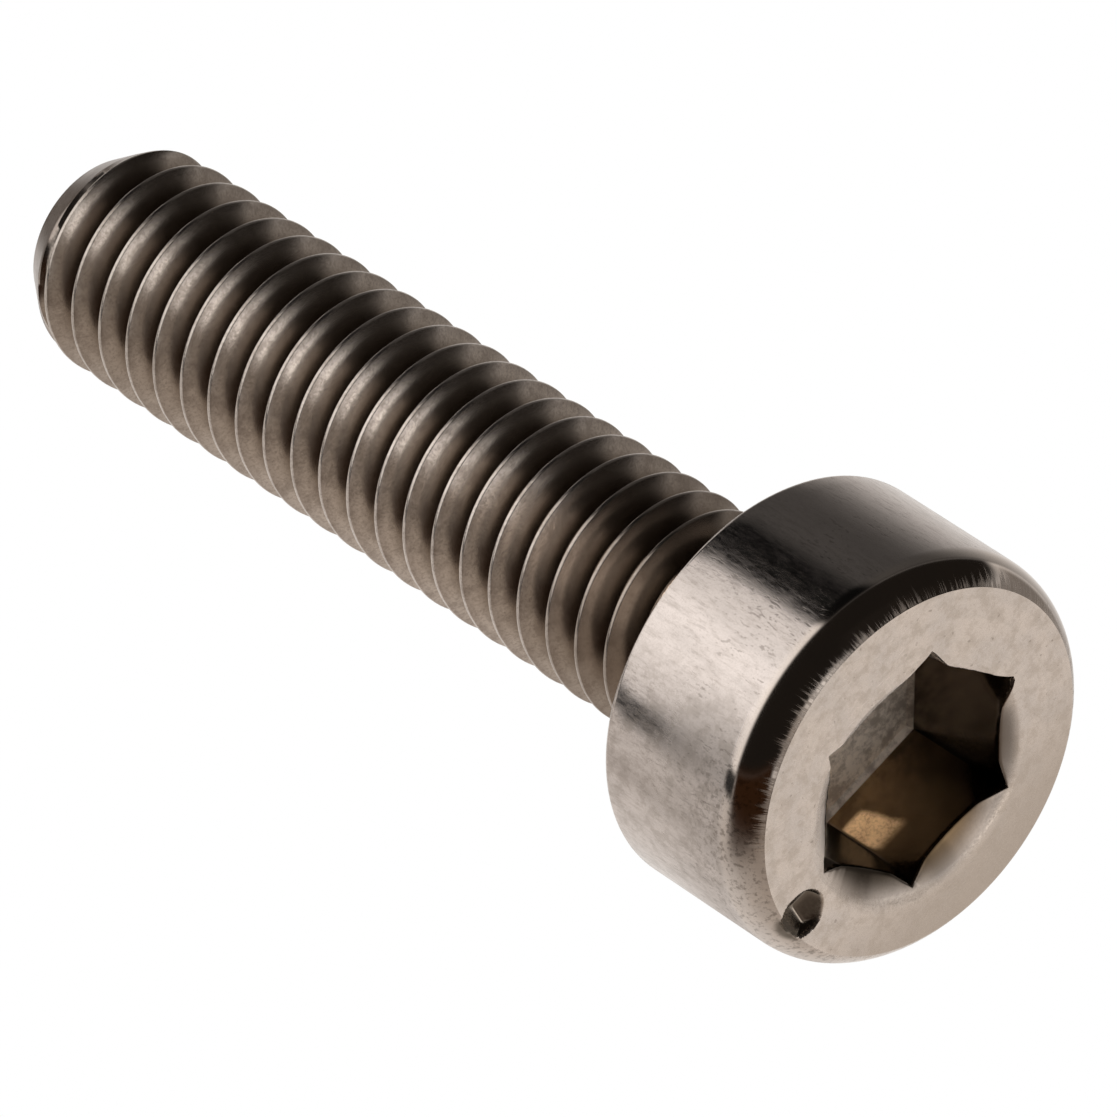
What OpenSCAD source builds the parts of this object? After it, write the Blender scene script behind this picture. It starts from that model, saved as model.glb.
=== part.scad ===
// Socket head cap screw with a short, fully threaded shank, made as one piece.
// Millimetres. It stands on its head: the face with the hexagon socket lies in
// the plane z = 0, the shank points up along +Z, and a corner of the hexagon
// points along +X.

/* [Head] */
// diameter of the plain side of the head
head_diameter = 7; // [6.5:0.05:7.5]
// from the face with the socket to the bearing face
head_height = 3.4; // [2.8:0.05:4.2]
// how far the rounded rim reaches in from the side
rim_width = 0.36; // [0.1:0.01:0.6]
// how far the rounded rim reaches up the side
rim_height = 0.7; // [0.2:0.01:1.2]
// radius of the small round at the edge of the bearing face
back_edge_radius = 0.12; // [0.02:0.01:0.3]

/* [Socket] */
// width of the hexagon across its flats
across_flats = 3.5; // [3:0.05:4]
// from the face to the flat floor of the socket
socket_depth = 2.2; // [1.8:0.05:2.6]
// width and height of the slope between the walls and the floor
floor_bevel = 0.08; // [0.02:0.01:0.3]
// diameter of the shallow countersink in the face
countersink_diameter = 4.4; // [4.2:0.05:5.5]
// slope of the countersink below the face, in degrees
countersink_slope = 20; // [5:1:45]
// how deep the flare of each corner starts
flare_depth = 0.9; // [0.3:0.05:1.5]
// distance from the axis that each flared corner reaches in the face
flare_reach = 2.17; // [2.05:0.01:2.4]
// opening angle of each flared corner, seen along the axis, in degrees
flare_angle = 96; // [50:1:110]

/* [Shank] */
// outside diameter of the thread
thread_diameter = 3.88; // [3.8:0.01:4]
// distance between neighbouring turns of the thread
pitch = 0.7; // [0.5:0.05:1]
// from the bearing face to the end of the tip
shank_length = 16.75; // [8:0.25:30]
// diameter of the plain neck under the head
neck_diameter = 3.46; // [3.2:0.02:3.8]
// length of the plain neck before the thread grows out of it
neck_length = 0.8; // [0.4:0.05:2]
// radius of the fillet between the neck and the bearing face
neck_fillet = 0.25; // [0.02:0.01:0.4]
// length over which the thread grows out of the neck
run_out = 0.6; // [0.2:0.05:1.4]
// direction of the thread's crest at the start of its first turn, in degrees from +X
thread_direction = -108; // [-180:1:180]
// length of the bevel at the tip
tip_bevel_length = 0.76; // [0.2:0.02:1.2]
// diameter of the flat end of the tip
tip_diameter = 2.9; // [2:0.05:3.4]

/* [Dent] */
// distance of the dent from the axis
dent_offset = 2.84; // [2:0.02:3.2]
// direction of the dent from the +X corner, in degrees
dent_direction = -5; // [-60:0.5:60]
// size of the dent from its centre to its rounded corners
dent_radius = 0.43; // [0.1:0.01:0.6]
// distance from its centre at which its three facets would meet the face in a corner
dent_facet_reach = 0.7; // [0.3:0.02:1]
// depth of the dent
dent_depth = 0.3; // [0.05:0.01:0.5]
// turn of the three-sided dent about its own centre, in degrees
dent_turn = 42; // [0:1:120]

/* [Hidden] */
$fn = 96;
overlap = 0.1;

// round bodies are turned by this, so that no seam of theirs meets a corner of the hexagon
seam_turn = 15;

// heights of the bearing face, the end of the plain neck and the end of the tip
bearing_height = head_height;
neck_end = bearing_height + neck_length;
total_height = head_height + shank_length;

// the rim is an arc that runs smoothly into the side and meets the face at an angle
head_radius = head_diameter / 2;
rim_radius = (rim_width * rim_width + rim_height * rim_height) / (2 * rim_width);
rim_steps = 12;
edge_steps = 6;

// the hexagon, its countersink, and the tilt of the corner flares
corner_radius = across_flats / 2 / cos(30);
countersink_radius = countersink_diameter / 2;
countersink_depth = countersink_radius * tan(countersink_slope);
flare_tilt = atan((flare_reach - corner_radius) / flare_depth);

// thread form: flanks at sixty degrees to each other, a flat crest and a wider root
crest_radius = thread_diameter / 2;
depth_share = 0.6134;
thread_depth = depth_share * pitch;
root_radius = crest_radius - thread_depth;
crest_width = pitch / 8;
root_width = pitch / 6;
flank_width = (pitch - crest_width - root_width) / 2;

// one turn of the thread as stations of height and radius, from the start of a crest
thread_stations = [
    [0, crest_radius],
    [crest_width, crest_radius],
    [crest_width + flank_width, root_radius],
    [crest_width + flank_width + root_width, root_radius]
];
station_count = len(thread_stations);
last_station = station_count - 1;

// the helix starts two turns below the end of the neck and runs past the tip
columns = 32;
thread_start = neck_end - 2 * pitch;
turns = ceil((total_height - thread_start) / pitch) + 1;
steps = turns * columns;

neck_radius = neck_diameter / 2;
tip_radius = tip_diameter / 2;

// Point of the threaded rod at a step along the helix and a station of the form.
function thread_point(step, station) =
    let (
        angle = step * 360 / columns,
        rise = step * pitch / columns,
        height = thread_start + rise + thread_stations[station][0],
        radius = thread_stations[station][1]
    )
    [radius * cos(angle), radius * sin(angle), height];

function point_index(step, station) = step * station_count + station;

// The middle points of the rod's lower and upper ends come after all the others.
lower_middle = point_index(steps, last_station) + 1;
upper_middle = lower_middle + 1;

function thread_points() = concat(
    [for (step = [0:steps]) for (station = [0:last_station]) thread_point(step, station)],
    [[0, 0, thread_start], [0, 0, thread_start + (turns + 1) * pitch]]
);

// Two triangles between two neighbouring steps, from one row of stations to the next.
function strip(lower, lower_next, upper, upper_next) =
    [[lower, upper, lower_next], [lower_next, upper, upper_next]];

// Strips within a turn, then those from the last row of a turn to the first of the next.
function side_faces() = concat(
    [for (step = [0:steps - 1]) for (station = [0:last_station - 1])
        for (face = strip(
            point_index(step, station), point_index(step + 1, station),
            point_index(step, station + 1), point_index(step + 1, station + 1)
        )) face],
    [for (step = [0:steps - columns - 1])
        for (face = strip(
            point_index(step, last_station), point_index(step + 1, last_station),
            point_index(step + columns, 0), point_index(step + 1 + columns, 0)
        )) face]
);

// Each end is a fan over one turn, closed by a fan over the step in the thread form.
function lower_end_faces() = concat(
    [for (step = [0:columns - 1])
        [lower_middle, point_index(step, 0), point_index(step + 1, 0)]],
    [[lower_middle, point_index(columns, 0), point_index(0, last_station)]],
    [for (station = [0:last_station - 1])
        [lower_middle, point_index(0, station + 1), point_index(0, station)]]
);

function upper_end_faces() = concat(
    [for (step = [steps - columns:steps - 1])
        [upper_middle, point_index(step + 1, last_station), point_index(step, last_station)]],
    [[upper_middle, point_index(steps - columns, last_station), point_index(steps, 0)]],
    [for (station = [0:last_station - 1])
        [upper_middle, point_index(steps, station), point_index(steps, station + 1)]]
);

// Rod with the full thread form, longer than the shank at both ends.
module threaded_rod() {
    polyhedron(
        points = thread_points(),
        faces = concat(side_faces(), lower_end_faces(), upper_end_faces()),
        convexity = 10
    );
}

// Solid of revolution that trims the rod: it grows out of the neck and narrows at the tip.
module shank_envelope() {
    clear_radius = crest_radius + overlap;
    grow_slope = run_out / (crest_radius - neck_radius);
    bevel_slope = tip_bevel_length / (crest_radius - tip_radius);
    rotate([0, 0, seam_turn])
        rotate_extrude()
            polygon([
                [0, neck_end - 2 * overlap],
                [neck_radius - overlap, neck_end - 2 * overlap],
                [neck_radius - overlap, neck_end - overlap],
                [clear_radius, neck_end + grow_slope * (clear_radius - neck_radius)],
                [clear_radius, total_height - bevel_slope * (clear_radius - tip_radius)],
                [tip_radius, total_height],
                [0, total_height]
            ]);
}

module threaded_shank() {
    intersection() {
        rotate([0, 0, thread_direction])
            threaded_rod();
        shank_envelope();
    }
}

// Points of an arc round a centre, from one angle to another.
function arc_points(centre, radius, from, to, count) = [
    for (i = [0:count])
        let (angle = from + (to - from) * i / count)
        centre + radius * [cos(angle), sin(angle)]
];

// The rim's arc starts in the face and ends where it runs into the side.
function rim_points() =
    let (start = -asin(rim_height / rim_radius))
    arc_points([head_radius - rim_radius, rim_height], rim_radius, start, 0, rim_steps);

function back_edge_points() =
    arc_points(
        [head_radius - back_edge_radius, bearing_height - back_edge_radius],
        back_edge_radius, 0, 90, edge_steps
    );

function fillet_points() =
    arc_points(
        [neck_radius + neck_fillet, bearing_height + neck_fillet],
        neck_fillet, 270, 180, edge_steps
    );

// Head and neck as one turned body. Past the neck, a taper fills the start of the groove.
module head_and_neck() {
    rotate([0, 0, seam_turn])
        rotate_extrude()
            polygon(concat(
                [[0, 0]],
                rim_points(),
                back_edge_points(),
                fillet_points(),
                [
                    [neck_radius, neck_end],
                    [root_radius - overlap, neck_end + run_out],
                    [0, neck_end + run_out]
                ]
            ));
}

// Narrow wedge that opens one corner of the hexagon towards the face.
module corner_flare() {
    wedge_depth = 1;
    wedge_half_width = wedge_depth * tan(flare_angle / 2);
    wedge_length = 2 * flare_depth;
    inner_length = 0.3;
    translate([corner_radius, 0, flare_depth])
        rotate([0, -flare_tilt, 0])
            translate([0, 0, inner_length - wedge_length])
                linear_extrude(wedge_length)
                    polygon([
                        [0, 0],
                        [-wedge_depth, wedge_half_width],
                        [-wedge_depth, -wedge_half_width]
                    ]);
}

// The hollow of the socket: hexagon with a bevelled floor, countersink and corner flares.
module socket_hollow() {
    wall_depth = socket_depth - floor_bevel;
    translate([0, 0, -overlap])
        cylinder(r = corner_radius, h = wall_depth + overlap, $fn = 6);
    translate([0, 0, wall_depth])
        cylinder(r1 = corner_radius, r2 = corner_radius - floor_bevel / cos(30), h = floor_bevel, $fn = 6);
    translate([0, 0, -overlap])
        rotate([0, 0, seam_turn])
            cylinder(
                r1 = countersink_radius + overlap / tan(countersink_slope),
                r2 = 0,
                h = countersink_depth + overlap
            );
    for (corner = [0:5])
        rotate([0, 0, corner * 60])
            corner_flare();
}

// The dent beside the rim: three facets that slope to one point, inside a round outline.
module dent_hollow() {
    height = dent_depth + overlap;
    rotate([0, 0, dent_direction])
        translate([dent_offset, 0, -overlap])
            rotate([0, 0, dent_turn])
                intersection() {
                    cylinder(r1 = dent_facet_reach * height / dent_depth, r2 = 0, h = height, $fn = 3);
                    cylinder(r = dent_radius, h = height);
                }
}

module cap_screw() {
    color([0.62, 0.6, 0.57])
        difference() {
            union() {
                head_and_neck();
                threaded_shank();
            }
            socket_hollow();
            dent_hollow();
        }
}

cap_screw();
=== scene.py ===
"""Hex socket cap screw that stands on its head: its fine surface, steel finish, studio and camera."""

import math

import bmesh
import bpy
import numpy as np
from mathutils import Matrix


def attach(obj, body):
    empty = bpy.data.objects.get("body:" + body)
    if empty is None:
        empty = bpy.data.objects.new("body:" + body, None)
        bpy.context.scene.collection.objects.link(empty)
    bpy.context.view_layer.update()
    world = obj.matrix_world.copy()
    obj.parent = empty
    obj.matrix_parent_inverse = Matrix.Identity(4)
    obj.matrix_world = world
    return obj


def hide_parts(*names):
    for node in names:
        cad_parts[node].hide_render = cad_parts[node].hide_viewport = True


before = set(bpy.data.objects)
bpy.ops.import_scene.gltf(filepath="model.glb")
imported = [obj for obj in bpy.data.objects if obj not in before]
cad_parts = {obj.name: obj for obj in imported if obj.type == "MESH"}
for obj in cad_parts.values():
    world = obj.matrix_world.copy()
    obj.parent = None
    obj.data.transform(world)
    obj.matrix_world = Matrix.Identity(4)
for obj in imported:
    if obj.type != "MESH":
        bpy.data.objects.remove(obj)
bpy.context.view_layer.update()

MM = 0.001
FULL_TURN = 2 * math.pi
SIXTH_TURN = math.radians(60)

# Sizes of the screw in millimetres. They are the CAD model's, but for the countersink, which is a
# little smaller and lies to one side, as on the real screw.
HEAD_RADIUS = 3.5
HEAD_HEIGHT = 3.4
RIM_WIDTH = 0.36
RIM_HEIGHT = 0.7
BACK_EDGE_RADIUS = 0.12
ACROSS_FLATS = 3.5
SOCKET_DEPTH = 2.2
FLOOR_BEVEL = 0.08
COUNTERSINK_RADIUS = 2.15
COUNTERSINK_SLOPE = math.radians(20)
COUNTERSINK_SHIFT = 0.28
COUNTERSINK_TOWARDS = math.radians(305)
FLARE_DEPTH = 0.9
FLARE_REACH = 2.17
FLARE_ANGLE = math.radians(96)
CREST_RADIUS = 1.94
PITCH = 0.7
TOTAL_HEIGHT = 20.15
NECK_RADIUS = 1.73
NECK_END = 4.2
NECK_FILLET = 0.25
RUN_OUT = 0.6
THREAD_DIRECTION = math.radians(-108)
TIP_BEVEL_LENGTH = 0.76
TIP_RADIUS = 1.45
DENT_OFFSET = 2.84
DENT_DIRECTION = math.radians(-5)
DENT_RADIUS = 0.43
DENT_FACET_REACH = 0.7
DENT_DEPTH = 0.3
DENT_TURN = math.radians(42)

# A flat of the hexagon is this share of a corner's distance from the axis.
FLAT_SHARE = math.cos(SIXTH_TURN / 2)
CORNER_RADIUS = ACROSS_FLATS / 2 / FLAT_SHARE

# Rounding of the socket's mouth, how far its nicks go, and the least width of the countersink.
MOUTH_ROUND = 0.03
NICK_DEPTH = 0.003
LEAST_CONE_WIDTH = 0.02

# The dent's ridges and edge are rounded, its facets reach out a little to make up for that, and its
# wall rises this much for each step inwards.
DENT_RIDGE_ROUND = 0.03
DENT_EDGE_ROUND = 0.04
DENT_SIDE_GAIN = 0.05
DENT_DEPTH_GAIN = 0.02
DENT_WALL_SLOPE = 2.2

# Thread form in shares of the pitch. The crest is a little narrower than in the CAD model.
DEPTH_SHARE = 0.6134
CREST_MIDDLE = 1 / 16
CREST_HALF = 1 / 20
ROOT_HALF = 1 / 12
ROOT_RADIUS = CREST_RADIUS - DEPTH_SHARE * PITCH

# Rounding of the thread's edges, as a share of its depth, and of its ends, in millimetres.
THREAD_EDGE_ROUND = 0.04
THREAD_END_ROUND = 0.04

# Height at which the head's rows end and the thread's begin, in the plain neck.
JOIN_HEIGHT = NECK_END - 0.2

# The taper that fills the first groove ends this far inside its root.
FILLER_DROP = 0.1

# The last groove fills up from this far below the end of the tip, by this much for each step upwards.
LAST_GROOVE_LENGTH = 0.9
LAST_GROOVE_SLOPE = 1.4

# Direction of the camera round the screw's axis in degrees, from which the studio cards are placed.
CAMERA_AZIMUTH = 74.8


def column_angles():
    """Angles of the columns, in sectors of a first angle, a last angle and a number of columns. Sectors
    meet at the hexagon's corners, and columns are closer together beside the dent."""
    sectors = [(-60, -16, 18), (-16, 0, 28), (0, 7, 12), (7, 60, 22)]
    sectors += [(start, start + 60, 25) for start in (60, 120, 180, 240)]
    parts = [np.linspace(start, end, count, endpoint=False) for start, end, count in sectors]
    return np.radians(np.append(np.concatenate(parts), 300))


ANGLES = column_angles()


def ring(radius, height):
    """One row of the surface: a radius and a height for every column."""
    return np.stack([np.broadcast_to(radius, ANGLES.shape), np.broadcast_to(height, ANGLES.shape)])


def straight(start, end, count):
    """Rows after start up to end, in equal steps of the straight way between them."""
    share = np.arange(1, count + 1)[:, None, None] / count
    return start + (end - start) * share


def bend(start, corner, end, count):
    """Rows on a quadratic curve: the squared shares weigh its ends, twice their product its corner."""
    share = np.arange(1, count + 1)[:, None, None] / count
    return (1 - share) ** 2 * start + 2 * share * (1 - share) * corner + share ** 2 * end


def arc(centre_radius, centre_height, radius, first, last, count):
    """Rows on a circle round a centre: the cosine of the angle goes outwards, its sine upwards."""
    turn = np.radians(np.linspace(first, last, count + 1))[:, None]
    flat = np.ones_like(ANGLES)
    rows = [centre_radius + radius * np.cos(turn) * flat, centre_height + radius * np.sin(turn) * flat]
    return np.stack(rows, axis=1)


def soft_min(first, second, width):
    """The smaller of two values, with a round of the given width where they are near each other: half of
    their sum less the root of their squared difference and the squared width."""
    return (first + second - np.sqrt((first - second) ** 2 + width ** 2)) / 2


def soft_max(first, second, width):
    """The larger of two values, with a round of the given width where they are near each other."""
    return -soft_min(-first, -second, width)


def corner_outline(reach, half_angle, twist=0.0):
    """Radius of an outline with six corners: reach times the sine of its half angle, over the sine of
    that angle plus the turn away from the nearest corner, which may be twisted from its place."""
    angles = ANGLES - twist
    turn = np.abs(angles - SIXTH_TURN * np.round(angles / SIXTH_TURN))
    return reach * math.sin(half_angle) / np.sin(half_angle + turn)


def flare_twist():
    """Twist of the flares, as on the real screw: two of them lean, less so away from their corners."""
    leans = [(math.radians(120), math.radians(6)), (math.radians(180), math.radians(4))]
    reach = SIXTH_TURN / 2
    return sum(lean * np.clip(1 - np.abs(ANGLES - corner) / reach, 0, 1) for corner, lean in leans)


def socket_radius(height):
    """Radius of the socket's wall: the hexagon, or the corner flare where that reaches further."""
    hexagon = corner_outline(CORNER_RADIUS, SIXTH_TURN)
    share = np.clip(1 - height / FLARE_DEPTH, 0, None)
    reach = CORNER_RADIUS + (FLARE_REACH - CORNER_RADIUS) * share
    flare = corner_outline(reach, FLARE_ANGLE / 2, flare_twist() * np.clip(share, 0, 1))
    return np.maximum(hexagon, flare)


def countersink_edge():
    """Radius of the countersink's edge, a circle with its centre beside the axis: the way to the foot of
    the centre on the column's line, plus the root of the squared radius less the squared offset."""
    turn = ANGLES - COUNTERSINK_TOWARDS
    across = COUNTERSINK_SHIFT * np.sin(turn)
    return COUNTERSINK_SHIFT * np.cos(turn) + np.sqrt(COUNTERSINK_RADIUS ** 2 - across ** 2)


def mouth_height():
    """Height at which the wall meets the countersink, found by putting each one into the other."""
    height = np.zeros_like(ANGLES)
    for _ in range(12):
        inside = np.clip(countersink_edge() - socket_radius(height), 0, None)
        height = inside * math.tan(COUNTERSINK_SLOPE)
    return height


def wall_rows(top, count):
    """Rows up the socket's wall from the floor bevel to just under its mouth."""
    bottom = SOCKET_DEPTH - FLOOR_BEVEL
    rows = [bottom + (top - bottom) * step / count for step in range(1, count + 1)]
    return np.stack([ring(socket_radius(height), height) for height in rows])


def dent_height(radius):
    """Height of the dent over the face: its depth, less the furthest way out from the middle towards one
    of three sides, as a share of the distance of that side, and no more than a steep round wall allows.
    The furthest of the three ways is the logarithm of the sum of their exponentials, which rounds it."""
    side = DENT_FACET_REACH * math.cos(SIXTH_TURN) + DENT_SIDE_GAIN
    x = radius * np.cos(ANGLES - DENT_DIRECTION) - DENT_OFFSET
    y = radius * np.sin(ANGLES - DENT_DIRECTION)
    normals = DENT_TURN + SIXTH_TURN * np.array([1, 3, 5])
    outs = [x * math.cos(turn) + y * math.sin(turn) for turn in normals]
    furthest = np.log(sum(np.exp(out / DENT_RIDGE_ROUND) for out in outs)) * DENT_RIDGE_ROUND
    facets = DENT_DEPTH * (1 - furthest / side) + DENT_DEPTH_GAIN
    wall = (DENT_RADIUS - np.hypot(x, y)) * DENT_WALL_SLOPE
    return soft_min(facets, wall, DENT_EDGE_ROUND)


def socket_rows():
    """Rows of the socket from the middle of its floor to the edge of its countersink. Nicks in the mouth
    are a sum of three sines round the axis."""
    pole = ring(0, SOCKET_DEPTH)
    floor = ring(corner_outline(CORNER_RADIUS - FLOOR_BEVEL / FLAT_SHARE, SIXTH_TURN), SOCKET_DEPTH)
    foot = ring(socket_radius(np.full_like(ANGLES, SOCKET_DEPTH)), SOCKET_DEPTH - FLOOR_BEVEL)
    mouth = mouth_height()
    below = mouth + MOUTH_ROUND
    under = ring(socket_radius(below), below)
    nicks = sum(np.sin(rate * ANGLES + rate) for rate in (37, 61, 89)) * NICK_DEPTH
    edge = ring(socket_radius(mouth) + nicks, mouth)
    cone_outer = ring(np.maximum(countersink_edge(), edge[0] + LEAST_CONE_WIDTH), 0)
    cone_inner = edge + (cone_outer - edge) * 0.15
    return np.concatenate([
        pole[None],
        straight(pole, floor, 6),
        straight(floor, foot, 2),
        wall_rows(below, 24),
        bend(under, edge, cone_inner, 4),
        straight(cone_inner, cone_outer, 4),
    ])


def head_rows(cone_outer):
    """Rows of the head from the edge of its countersink to the end of the neck."""
    rim_radius = (RIM_WIDTH ** 2 + RIM_HEIGHT ** 2) / (2 * RIM_WIDTH)
    rim_start = -math.degrees(math.asin(RIM_HEIGHT / rim_radius))
    rim = arc(HEAD_RADIUS - rim_radius, RIM_HEIGHT, rim_radius, rim_start, 0, 18)
    face = np.concatenate([straight(cone_outer, rim[0], 40), rim[1:]])
    face[:, 1] = [np.maximum(height, dent_height(radius)) for radius, height in face]
    edge_height = HEAD_HEIGHT - BACK_EDGE_RADIUS
    back_edge = arc(HEAD_RADIUS - BACK_EDGE_RADIUS, edge_height, BACK_EDGE_RADIUS, 0, 90, 6)
    fillet = arc(NECK_RADIUS + NECK_FILLET, HEAD_HEIGHT + NECK_FILLET, NECK_FILLET, 270, 180, 6)
    return np.concatenate([
        face,
        straight(rim[-1], ring(HEAD_RADIUS, edge_height), 10),
        back_edge[1:],
        straight(back_edge[-1], fillet[0], 3),
        fillet[1:],
        straight(fillet[-1], ring(NECK_RADIUS, JOIN_HEIGHT), 1),
    ])


def thread_radius(angle, height):
    """Radius of the shank: a rounded trapezoid of the height and the turn along the helix, no more
    than the run-out and the tip allow, and no less than the tapers that fill the first groove and the
    last."""
    place = (height - NECK_END) / PITCH - (angle - THREAD_DIRECTION) / FULL_TURN
    away = np.abs((place - CREST_MIDDLE + 0.5) % 1 - 0.5)
    slope = (away - CREST_HALF) / (0.5 - ROOT_HALF - CREST_HALF)
    fall = soft_min(soft_max(slope, 0, THREAD_EDGE_ROUND), 1, THREAD_EDGE_ROUND)
    profile = CREST_RADIUS - (CREST_RADIUS - ROOT_RADIUS) * np.clip(fall, 0, 1)
    last_groove = ROOT_RADIUS + (height - TOTAL_HEIGHT + LAST_GROOVE_LENGTH) * LAST_GROOVE_SLOPE
    profile = soft_max(profile, np.minimum(last_groove, CREST_RADIUS), THREAD_END_ROUND)
    grow = NECK_RADIUS + (height - NECK_END) * (CREST_RADIUS - NECK_RADIUS) / RUN_OUT
    narrow = TIP_RADIUS + (TOTAL_HEIGHT - height) * (CREST_RADIUS - TIP_RADIUS) / TIP_BEVEL_LENGTH
    envelope = soft_min(grow, narrow, THREAD_END_ROUND / 2)
    share = np.clip((height - NECK_END) / RUN_OUT, 0, 1)
    filler = NECK_RADIUS + (ROOT_RADIUS - FILLER_DROP - NECK_RADIUS) * share
    return np.maximum(filler, soft_min(profile, envelope, THREAD_END_ROUND))


def thread_rows():
    """Rows that run along the helix, fourteen to a turn and closer together at the crest and the root,
    cut off level at the neck and at the tip."""
    away = np.array([0.02, 0.05, 0.09, 0.17, 0.30, 0.385, 0.43])
    stations = np.sort(np.concatenate([CREST_MIDDLE - away, CREST_MIDDLE + away]))
    turns = np.arange(-1, math.ceil((TOTAL_HEIGHT - JOIN_HEIGHT) / PITCH) + 2)
    places = (turns[:, None] + stations).ravel()[:, None]
    height = NECK_END + PITCH * (places + (ANGLES - THREAD_DIRECTION) / FULL_TURN)
    height = np.clip(height, JOIN_HEIGHT, TOTAL_HEIGHT)
    return np.stack([thread_radius(ANGLES, height), height], axis=1)


def tip_rows():
    """Rows of the end of the shank, a shallow cup: rings inwards from its edge, and the depth of each."""
    radii = np.array([1.42, 1.36, 1.0, 0.6, 0.3, 0])
    depth = np.array([0.0, 0.02, 0.03, 0.035, 0.04, 0.04])
    return np.stack([ring(radius, TOTAL_HEIGHT - low) for radius, low in zip(radii, depth)])


def screw_mesh():
    """One closed mesh: every row is joined to the next by four-sided faces, doubles are merged."""
    socket = socket_rows()
    rows = np.concatenate([socket, head_rows(socket[-1]), thread_rows(), tip_rows()])
    radius, height = rows[:, 0], rows[:, 1]
    points = np.stack([radius * np.cos(ANGLES), radius * np.sin(ANGLES), height], axis=-1)
    row_count, column_count = radius.shape
    index = np.arange(row_count * column_count).reshape(row_count, column_count)
    faces = np.stack([index[:-1, :-1], index[:-1, 1:], index[1:, 1:], index[1:, :-1]], axis=-1)
    mesh = bpy.data.meshes.new("cap_screw_steel")
    mesh.from_pydata((points * MM).reshape(-1, 3), [], faces.reshape(-1, 4))
    work = bmesh.new()
    work.from_mesh(mesh)
    bmesh.ops.remove_doubles(work, verts=work.verts, dist=1e-7)
    bmesh.ops.dissolve_degenerate(work, edges=work.edges, dist=1e-8)
    bmesh.ops.recalc_face_normals(work, faces=work.faces)
    work.to_mesh(mesh)
    work.free()
    mesh.shade_smooth()
    mesh.set_sharp_from_angle(angle=math.radians(35))
    return mesh


class Graph:
    """Adds nodes to one node tree and links them."""

    def __init__(self, tree):
        self.tree = tree

    def feed(self, socket, value):
        """Links an output to a socket, or sets the socket's own value."""
        if isinstance(value, bpy.types.NodeSocket):
            self.tree.links.new(value, socket)
        else:
            socket.default_value = value

    def add(self, kind, inputs=None, **settings):
        """A new node with its settings, and with its inputs fed."""
        node = self.tree.nodes.new(kind)
        for name, value in settings.items():
            setattr(node, name, value)
        for name, value in (inputs or {}).items():
            self.feed(node.inputs[name], value)
        return node

    def math(self, operation, *values):
        return self.add("ShaderNodeMath", dict(enumerate(values)), operation=operation).outputs[0]

    def plus(self, first, second):
        return self.math("ADD", first, second)

    def minus(self, first, second):
        return self.math("SUBTRACT", first, second)

    def times(self, first, *others):
        for other in others:
            first = self.math("MULTIPLY", first, other)
        return first

    def ramp(self, value, low, high, start=0.0, end=1.0):
        """Start where the value is low, end where it is high, and a smooth step between them."""
        inputs = {"Value": value, "From Min": low, "From Max": high, "To Min": start, "To Max": end}
        return self.add("ShaderNodeMapRange", inputs, interpolation_type="SMOOTHSTEP").outputs["Result"]

    def mix(self, factor, first, second):
        """The first colour where the factor is zero, and the second where it is one."""
        inputs = {"Factor": factor, 6: first, 7: second}
        return self.add("ShaderNodeMix", inputs, data_type="RGBA").outputs[2]

    def paint(self, base, colour, *masks):
        """The base with a colour laid over it, as far as the product of the masks goes."""
        return self.mix(self.times(*masks), base, colour)

    def blend(self, base, value, *masks):
        """The base number with another value in its place, as far as the product of the masks goes."""
        inputs = {"Factor": self.times(*masks), 2: base, 3: value}
        return self.add("ShaderNodeMix", inputs, data_type="FLOAT").outputs[0]

    def scaled(self, vector, x, y, z):
        inputs = {0: vector, 1: (x, y, z)}
        return self.add("ShaderNodeVectorMath", inputs, operation="MULTIPLY").outputs[0]

    def noise(self, vector, scale, detail=3.0, roughness=0.55):
        inputs = {"Vector": vector, "Scale": scale, "Detail": detail, "Roughness": roughness}
        return self.add("ShaderNodeTexNoise", inputs).outputs["Fac"]


def grey(level, warmth=0.0):
    """Opaque grey of a level. One plus the warmth multiplies its red and divides its blue."""
    return (level * (1 + warmth), level, level / (1 + warmth), 1.0)


def card_group():
    """Mask of a soft-edged card in the studio: one inside its width and height, zero outside, and across
    each edge a smooth step as wide as its softness."""
    tree = bpy.data.node_groups.new("studio card", "ShaderNodeTree")
    ray = ["Azimuth", "Elevation"]
    card = ["Card Azimuth", "Card Elevation", "Half Width", "Half Height", "Softness"]
    for name in ray + card:
        tree.interface.new_socket(name, in_out="INPUT", socket_type="NodeSocketFloat")
    tree.interface.new_socket("Mask", in_out="OUTPUT", socket_type="NodeSocketFloat")
    graph = Graph(tree)
    given = graph.add("NodeGroupInput").outputs
    across = graph.minus(given["Azimuth"], given["Card Azimuth"])
    across = graph.math("ABSOLUTE", graph.math("WRAP", across, 180.0, -180.0))
    up = graph.math("ABSOLUTE", graph.minus(given["Elevation"], given["Card Elevation"]))
    masks = []
    for distance, half in ((across, given["Half Width"]), (up, given["Half Height"])):
        inside = graph.plus(graph.minus(half, distance), graph.times(given["Softness"], 0.5))
        masks.append(graph.ramp(graph.math("DIVIDE", inside, given["Softness"]), 0.0, 1.0))
    graph.add("NodeGroupOutput", {"Mask": graph.times(*masks)})
    return tree


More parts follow.
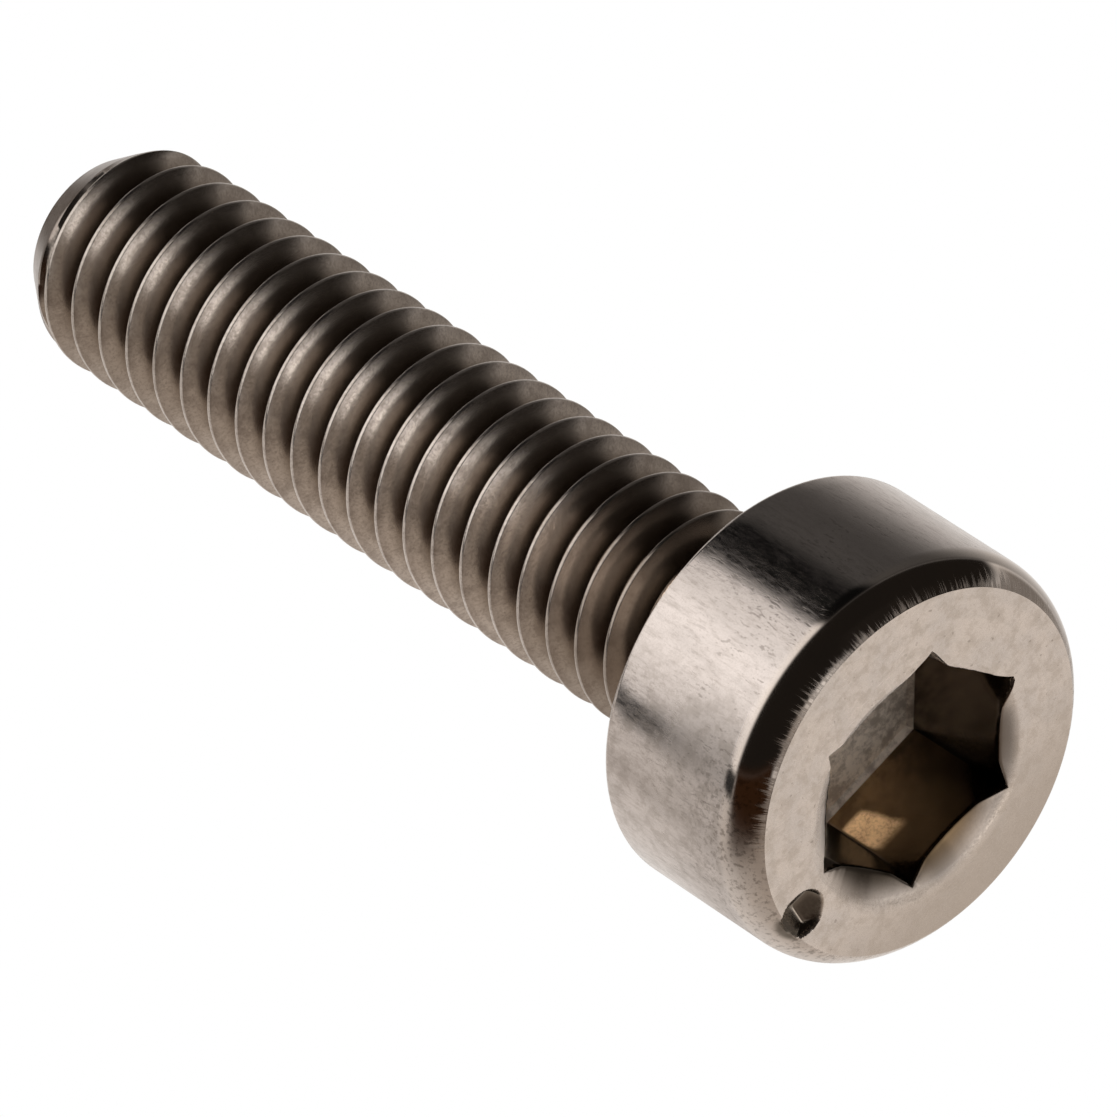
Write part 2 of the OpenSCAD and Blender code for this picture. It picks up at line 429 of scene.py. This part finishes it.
# Studio cards: azimuth from the camera's, elevation, half width, half height, softness, level, warmth.
# The angles are in degrees. A card covers those before it.
CARDS = [
    ("side grey", -121, 38, 59, 40, 6, 0.71, 0.05),
    ("side dip", -91, 42, 5, 30, 10, 0.46, 0.08),
    ("side white", -7, 44, 20, 26, 24, 1.3, 0.02),
    ("lower beige", -125, -30, 43, 34, 16, 0.5, 0.1),
    ("lower brown", -94, -50, 30, 26, 14, 0.36, 0.16),
    ("top black", 107, 40, 73, 26, 5, 0.075, 0.05),
    ("deep black", 48, 42, 15, 28, 8, 0.004, 0.0),
    ("top fade", 190, 42, 60, 30, 70, 0.85, 0.04),
    ("tip brown", 180, 74, 70, 9, 6, 0.12, 0.2),
    ("streak", -55, 42, 7, 28, 4, 0.03, 0.0),
    ("nadir", 0, -90, 190, 15, 8, 2.2, 0.04),
    ("camera wall", 38, -22, 86, 38, 8, 0.012, 0.2),
    ("brown wall", -66, -20, 22, 34, 8, 0.014, 1.3),
    ("lower left", -58, -71, 52, 12, 14, 0.18, 0.2),
    ("lower right", 84, -47, 48, 18, 10, 0.015, 0.2),
    ("right grey", 146, -14, 20, 26, 12, 0.22, 0.1),
    ("face light", 184, -34, 30, 36, 16, 0.82, 0.05),
]

# Lamp, laid out as the cards are, and the depth of a ray that has been reflected twice before it.
LAMP = ("lamp", 30, -44, 12, 14, 8, 5.0, 0.1)
TWICE_REFLECTED = 3.0


def place_card(graph, group, ray, card):
    """Mask of one card for a ray of an azimuth and an elevation, and the card's colour."""
    name, *layout, level, warmth = card
    node = graph.add("ShaderNodeGroup", node_tree=group, label=name)
    for socket, value in zip(node.inputs, [*ray, *layout]):
        graph.feed(socket, value)
    return node.outputs["Mask"], grey(level, warmth)


def make_world():
    """White studio: the camera sees plain white, and the metal also sees soft grey and dark cards. A
    lamp, which only shows after two reflections, lights the socket's wall by way of its floor."""
    world = bpy.data.worlds.new("studio")
    world.use_nodes = True
    graph = Graph(world.node_tree)
    graph.tree.nodes.clear()
    direction = graph.add("ShaderNodeTexCoord").outputs["Generated"]
    axes = graph.add("ShaderNodeSeparateXYZ", {0: direction}).outputs
    around = graph.math("DEGREES", graph.math("ARCTAN2", axes["Y"], axes["X"]))
    ray = (graph.minus(around, CAMERA_AZIMUTH), graph.math("DEGREES", graph.math("ARCSINE", axes["Z"])))
    group = card_group()
    colour = grey(1.0, 0.03)
    for card in CARDS:
        mask, card_colour = place_card(graph, group, ray, card)
        colour = graph.paint(colour, card_colour, mask)
    path = graph.add("ShaderNodeLightPath").outputs
    mask, lamp_colour = place_card(graph, group, ray, LAMP)
    reflected = graph.math("COMPARE", path["Ray Depth"], TWICE_REFLECTED, 0.5)
    colour = graph.paint(colour, lamp_colour, mask, reflected)
    colour = graph.paint(colour, grey(1.0), path["Is Camera Ray"])
    background = graph.add("ShaderNodeBackground", {"Color": colour, "Strength": 1.0})
    output = graph.add("ShaderNodeOutputWorld")
    graph.feed(output.inputs["Surface"], background.outputs[0])
    bpy.context.scene.world = world


class SteelGraph(Graph):
    """Node tree of the steel, with what all its parts ask for: where the point is in millimetres, which
    surface of the screw it belongs to, and the patterns that several surfaces share."""

    def __init__(self, tree):
        super().__init__(tree)
        place = self.add("ShaderNodeTexCoord").outputs["Object"]
        self.place = self.scaled(place, 1 / MM, 1 / MM, 1 / MM)
        axes = self.add("ShaderNodeSeparateXYZ", {0: self.place}).outputs
        self.x, self.y, self.height = axes["X"], axes["Y"], axes["Z"]
        flat = self.scaled(self.place, 1.0, 1.0, 0.0)
        self.radius = self.add("ShaderNodeVectorMath", {0: flat}, operation="LENGTH").outputs["Value"]
        self.outward = self.add("ShaderNodeVectorMath", {0: flat}, operation="NORMALIZE").outputs[0]
        self.mark_head()
        self.mark_shank()
        self.add_patterns()

    def mark_head(self):
        """Masks of the head's surfaces. The lit wall is the one that faces the camera."""
        radius, height = self.radius, self.height
        self.side = self.times(self.ramp(radius, 3.42, 3.47), self.ramp(height, 0.55, 0.72))
        self.rim = self.times(self.ramp(radius, 3.12, 3.16), self.ramp(height, 0.75, 0.6))
        self.face = self.times(self.ramp(radius, 3.16, 3.12), self.ramp(height, 0.1, 0.04))
        self.under = self.times(self.ramp(height, 3.36, 3.4), self.ramp(radius, 3.45, 3.38))
        socket = self.times(self.ramp(radius, 2.24, 2.18), self.ramp(height, 0.02, 0.25))
        self.socket = self.times(socket, self.ramp(height, 2.4, 2.3))
        self.bottom = self.times(self.socket, self.ramp(height, 2.1, 2.13))
        lit = self.times(self.socket, self.ramp(self.y, -1.6, -1.7))
        self.lit_wall = self.times(lit, self.ramp(self.x, 1.0, 0.96))
        middle = (DENT_OFFSET * math.cos(DENT_DIRECTION), DENT_OFFSET * math.sin(DENT_DIRECTION), 0.1)
        inputs = {0: self.place, 1: middle}
        away = self.add("ShaderNodeVectorMath", inputs, operation="DISTANCE").outputs["Value"]
        self.dent = self.times(self.ramp(away, 0.52, 0.42), self.ramp(height, 0.015, 0.05))

    def mark_shank(self):
        """Masks of the shank, its crests, its roots and the end of its tip."""
        radius, height = self.radius, self.height
        self.shank = self.ramp(height, 3.5, 3.9)
        self.crest = self.times(self.shank, self.ramp(radius, 1.78, 1.93))
        self.root = self.times(self.shank, self.ramp(radius, 1.82, 1.54))
        self.end = self.times(self.ramp(height, 19.4, 19.6), self.ramp(radius, 1.94, 1.86))

    def add_patterns(self):
        """Soft mottle, patches and grain, streaks and pits along the side, ticks that run up the rim from
        the face and are longer where their noise is stronger, and rings round the axis."""
        place, height = self.place, self.height
        self.mottle = self.noise(place, 1.3)
        self.patches = self.noise(place, 3.5, detail=5.0, roughness=0.7)
        self.grain = self.noise(place, 22.0)
        self.streaks = self.noise(self.scaled(place, 16.0, 16.0, 3.2), 1.0, detail=5.0, roughness=0.75)
        pits = self.noise(self.scaled(place, 19.0, 19.0, 6.0), 1.0, roughness=0.6)
        crowd = self.times(self.ramp(self.mottle, 0.38, 0.6), self.ramp(height, 2.6, 1.2, 0.45, 1.0))
        self.pits = self.times(self.ramp(pits, 0.57, 0.66), crowd)
        ticks = self.noise(self.scaled(self.outward, 60.0, 60.0, 1.0), 1.0, detail=4.0, roughness=0.75)
        ticks = self.minus(ticks, self.times(height, 0.75))
        ticks = self.times(self.ramp(ticks, 0.42, 0.56), self.ramp(height, 0.4, 0.05))
        self.ticks = self.times(ticks, self.ramp(self.mottle, 0.38, 0.58, 0.5, 1.0))
        rings = self.add("ShaderNodeCombineXYZ", {"X": self.times(self.radius, 12.0), "Y": self.mottle})
        self.rings = self.noise(rings.outputs[0], 1.0)


def paint_side(steel, base):
    """Side of the head: soft bands and streaks, clouds towards +X, worn specks by the rim, and pits."""
    bands = steel.noise(steel.scaled(steel.place, 2.6, 2.6, 0.5), 1.0, roughness=0.6)
    bands = steel.ramp(bands, 0.35, 0.7, 0.0, 0.5)
    streaks = steel.ramp(steel.streaks, 0.46, 0.72, 0.0, 0.4)
    clouds = steel.times(steel.ramp(steel.x, 0.8, 2.2), steel.ramp(steel.patches, 0.44, 0.62, 0.0, 0.5))
    near_rim = steel.times(steel.ramp(steel.radius, 3.1, 3.2), steel.ramp(steel.height, 1.9, 0.5))
    specks = steel.noise(steel.place, 11.0, detail=4.0, roughness=0.65)
    specks = steel.times(steel.ramp(specks, 0.5, 0.64, 0.0, 0.7), steel.ramp(steel.x, 1.9, 2.5))
    base = steel.paint(base, (0.67, 0.6, 0.56, 1), steel.side)
    base = steel.paint(base, (0.5, 0.45, 0.42, 1), steel.side, bands)
    base = steel.paint(base, (0.34, 0.29, 0.25, 1), steel.side, streaks)
    base = steel.paint(base, (0.38, 0.33, 0.29, 1), steel.side, clouds)
    base = steel.paint(base, (0.24, 0.2, 0.17, 1), near_rim, specks)
    return steel.paint(base, (0.16, 0.13, 0.11, 1), steel.side, steel.pits, 0.5)


def paint_face(steel, base):
    """Face: turned rings, patches and dark specks, and a darker tone towards -Y. Fine specks cover the
    whole screw, and the bearing face has one darker tone."""
    rings = steel.ramp(steel.rings, 0.45, 0.7, 0.0, 0.2)
    patches = steel.ramp(steel.patches, 0.43, 0.64, 0.0, 0.62)
    specks = steel.ramp(steel.noise(steel.place, 8.0, detail=4.0), 0.64, 0.72, 0.0, 0.5)
    fine = steel.ramp(steel.noise(steel.place, 38.0, detail=2.0), 0.45, 0.7, 0.0, 0.22)
    aside = steel.ramp(steel.y, -0.6, -3.0, 0.0, 0.85)
    base = steel.paint(base, (0.5, 0.45, 0.4, 1), steel.face, rings)
    base = steel.paint(base, (0.48, 0.41, 0.35, 1), steel.face, patches)
    base = steel.paint(base, (0.2, 0.16, 0.13, 1), steel.face, specks)
    base = steel.paint(base, (0.4, 0.35, 0.31, 1), fine)
    base = steel.paint(base, (0.46, 0.39, 0.33, 1), steel.face, aside)
    return steel.paint(base, (0.45, 0.39, 0.34, 1), steel.under)


def paint_shank(steel, base):
    """Shank: pale flanks, roots darkened with painted shade and dirt, and worn crests, all darkened by
    painted shade towards the tip, then patches, grain, a brown painted shade and reflection of the head
    near it, and a darker end."""
    # Towards the tip, flanks and crests are darkened with painted shade, for the dimmer reflections
    # there.
    tip_shade = steel.ramp(steel.height, 10.0, 20.0)
    flanks = steel.mix(tip_shade, (0.74, 0.66, 0.59, 1), (0.6, 0.53, 0.47, 1))
    crests = steel.mix(tip_shade, (0.64, 0.57, 0.52, 1), (0.56, 0.5, 0.45, 1))
    patches = steel.ramp(steel.patches, 0.45, 0.66, 0.0, 0.5)
    grain = steel.ramp(steel.grain, 0.45, 0.65, 0.0, 0.3)
    head_shade = steel.ramp(steel.height, 9.0, 5.0)
    base = steel.paint(base, flanks, steel.shank)
    # The roots are darkened with painted shade between the turns, and browned with dirt.
    base = steel.paint(base, (0.28, 0.22, 0.17, 1), steel.root)
    base = steel.paint(base, crests, steel.crest)
    base = steel.paint(base, (0.36, 0.3, 0.26, 1), steel.shank, patches)
    base = steel.paint(base, (0.28, 0.23, 0.19, 1), steel.shank, grain)
    # Painted shade and reflection of the head, in brown on the turns near it.
    base = steel.paint(base, (0.24, 0.19, 0.15, 1), steel.shank, head_shade, 0.6)
    return steel.paint(base, (0.3, 0.25, 0.22, 1), steel.end)


def paint_socket(steel, base):
    """Socket: walls darkened with painted shade, the lit wall in a painted brown reflection with a
    painted gold reflection that leans, a bright mottled floor, and a shade on the countersink towards -Y,
    which also covers the shank and the neck on that side."""
    shade = steel.times(steel.ramp(steel.height, 0.004, 0.08), steel.ramp(steel.radius, 2.5, 2.4))
    shade = steel.times(shade, steel.ramp(steel.y, -0.2, -0.8), steel.ramp(steel.x, 1.1, 0.5))
    # Painted reflection: a gold patch of warm light that leans across the lit wall.
    lean = steel.minus(steel.x, steel.times(steel.height, 0.3))
    lean = steel.plus(lean, steel.times(steel.patches, 0.16))
    gold = steel.times(steel.ramp(steel.height, 0.88, 1.14), steel.ramp(steel.height, 1.84, 1.72))
    gold = steel.times(gold, steel.ramp(lean, 0.02, 0.2), steel.ramp(lean, 0.76, 0.64))
    gold = steel.times(gold, steel.lit_wall, steel.ramp(steel.grain, 0.3, 0.6, 0.6, 1.0))
    # Painted reflection on the lit wall: dark brown towards -X, brown towards +X.
    brown = steel.mix(steel.ramp(steel.x, -0.9, 0.3), (0.03, 0.02, 0.012, 1), (0.11, 0.075, 0.042, 1))
    floor = steel.ramp(steel.patches, 0.4, 0.62)
    floor = steel.mix(floor, (0.85, 0.77, 0.68, 1), (0.5, 0.43, 0.37, 1))
    base = steel.paint(base, (0.29, 0.255, 0.23, 1), shade)
    # The socket's walls are darkened with painted shade, darkest on the walls towards +X.
    base = steel.paint(base, (0.12, 0.09, 0.065, 1), steel.socket)
    base = steel.paint(base, (0.05, 0.04, 0.03, 1), steel.socket, steel.ramp(steel.x, 0.98, 1.04))
    # The lit wall gets its painted brown reflection with the painted gold reflection over it.
    base = steel.paint(base, steel.paint(brown, (1.0, 0.74, 0.46, 1), gold), steel.lit_wall)
    return steel.paint(base, floor, steel.bottom)


def steel_roughness(steel):
    """Roughness: streaked on the side and duller by the rim towards +X, ticks on the rim, grain on the
    face and in the socket, patches on the shank, and a dull socket floor."""
    near_rim = steel.times(steel.ramp(steel.height, 2.9, 1.0), steel.ramp(steel.x, 0.8, 2.0))
    ticks = steel.blend(steel.ramp(steel.x, 2.4, 3.0, 0.1, 0.3), 0.5, steel.ticks)
    rough = steel.ramp(steel.streaks, 0.3, 0.75, 0.12, 0.27)
    rough = steel.blend(rough, 0.38, steel.side, near_rim)
    rough = steel.blend(rough, ticks, steel.rim)
    rough = steel.blend(rough, steel.ramp(steel.grain, 0.3, 0.7, 0.24, 0.4), steel.face)
    rough = steel.blend(rough, steel.ramp(steel.patches, 0.3, 0.7, 0.2, 0.27), steel.shank)
    rough = steel.blend(rough, steel.ramp(steel.grain, 0.3, 0.7, 0.12, 0.2), steel.socket)
    return steel.blend(rough, 0.66, steel.bottom)


def steel_relief(steel):
    """Height of the fine relief: streaks less the pits on the side, rings and grain on the face, ticks
    cut into the rim, and none in the dent."""
    side = steel.times(steel.side, 0.55, steel.minus(steel.streaks, steel.pits))
    face = steel.times(steel.face, steel.plus(steel.rings, steel.times(steel.grain, 0.4)))
    rim = steel.times(steel.rim, steel.ticks, 0.5)
    relief = steel.minus(steel.plus(side, face), rim)
    return steel.times(relief, steel.minus(1.0, steel.dent))


def steel_material():
    """Stainless steel: each surface of the screw is painted in turn over a mottled grey."""
    material = bpy.data.materials.new("stainless steel")
    material.use_nodes = True
    steel = SteelGraph(material.node_tree)
    base = steel.mix(steel.ramp(steel.mottle, 0.35, 0.65), (0.63, 0.56, 0.51, 1), (0.68, 0.595, 0.53, 1))
    for paint in (paint_side, paint_face, paint_shank, paint_socket):
        base = paint(steel, base)
    base = steel.paint(base, (0.22, 0.19, 0.16, 1), steel.dent)
    relief = {"Height": steel_relief(steel), "Strength": 1.0, "Distance": 1.2e-6}
    shader = material.node_tree.nodes["Principled BSDF"].inputs
    shader["Metallic"].default_value = 1.0
    steel.feed(shader["Base Color"], base)
    steel.feed(shader["Roughness"], steel_roughness(steel))
    steel.feed(shader["Normal"], steel.add("ShaderNodeBump", relief).outputs[0])
    return material


def make_floor():
    """Pale floor just under the head, shown only to the camera and only from above."""
    half_size = 0.5
    level = -0.00002
    corners = [(-1, -1), (1, -1), (1, 1), (-1, 1)]
    mesh = bpy.data.meshes.new("floor")
    mesh.from_pydata([(x * half_size, y * half_size, level) for x, y in corners], [], [(0, 1, 2, 3)])
    floor = bpy.data.objects.new("floor", mesh)
    bpy.context.scene.collection.objects.link(floor)
    material = bpy.data.materials.new("pale floor")
    material.use_nodes = True
    graph = Graph(material.node_tree)
    graph.tree.nodes.clear()
    camera_ray = graph.add("ShaderNodeLightPath").outputs["Is Camera Ray"]
    back = graph.add("ShaderNodeNewGeometry").outputs["Backfacing"]
    seen = graph.times(camera_ray, graph.minus(1.0, back))
    diffuse = graph.add("ShaderNodeBsdfDiffuse", {"Color": grey(1.0)})
    clear = graph.add("ShaderNodeBsdfTransparent")
    mix = graph.add("ShaderNodeMixShader", {"Fac": seen, 1: clear.outputs[0], 2: diffuse.outputs[0]})
    output = graph.add("ShaderNodeOutputMaterial")
    graph.feed(output.inputs["Surface"], mix.outputs[0])
    mesh.materials.append(material)


def make_camera():
    """Camera at the viewing angle of the photo, with a long lens."""
    data = bpy.data.cameras.new("camera")
    data.lens = 450.75
    data.sensor_width = 36
    data.clip_start = 0.01
    camera = bpy.data.objects.new("camera", data)
    camera.location = (0.044368, 0.162939, -0.132522)
    camera.rotation_euler = [math.radians(turn) for turn in (146.723, 39.975, -150.746)]
    bpy.context.scene.collection.objects.link(camera)
    bpy.context.scene.camera = camera


make_camera()
screw = bpy.data.objects.new("cap_screw_steel", screw_mesh())
screw.data.materials.append(steel_material())
bpy.context.scene.collection.objects.link(screw)
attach(screw, "root")
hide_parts("cap_screw")
make_floor()
make_world()
bpy.context.scene.view_settings.view_transform = "Standard"
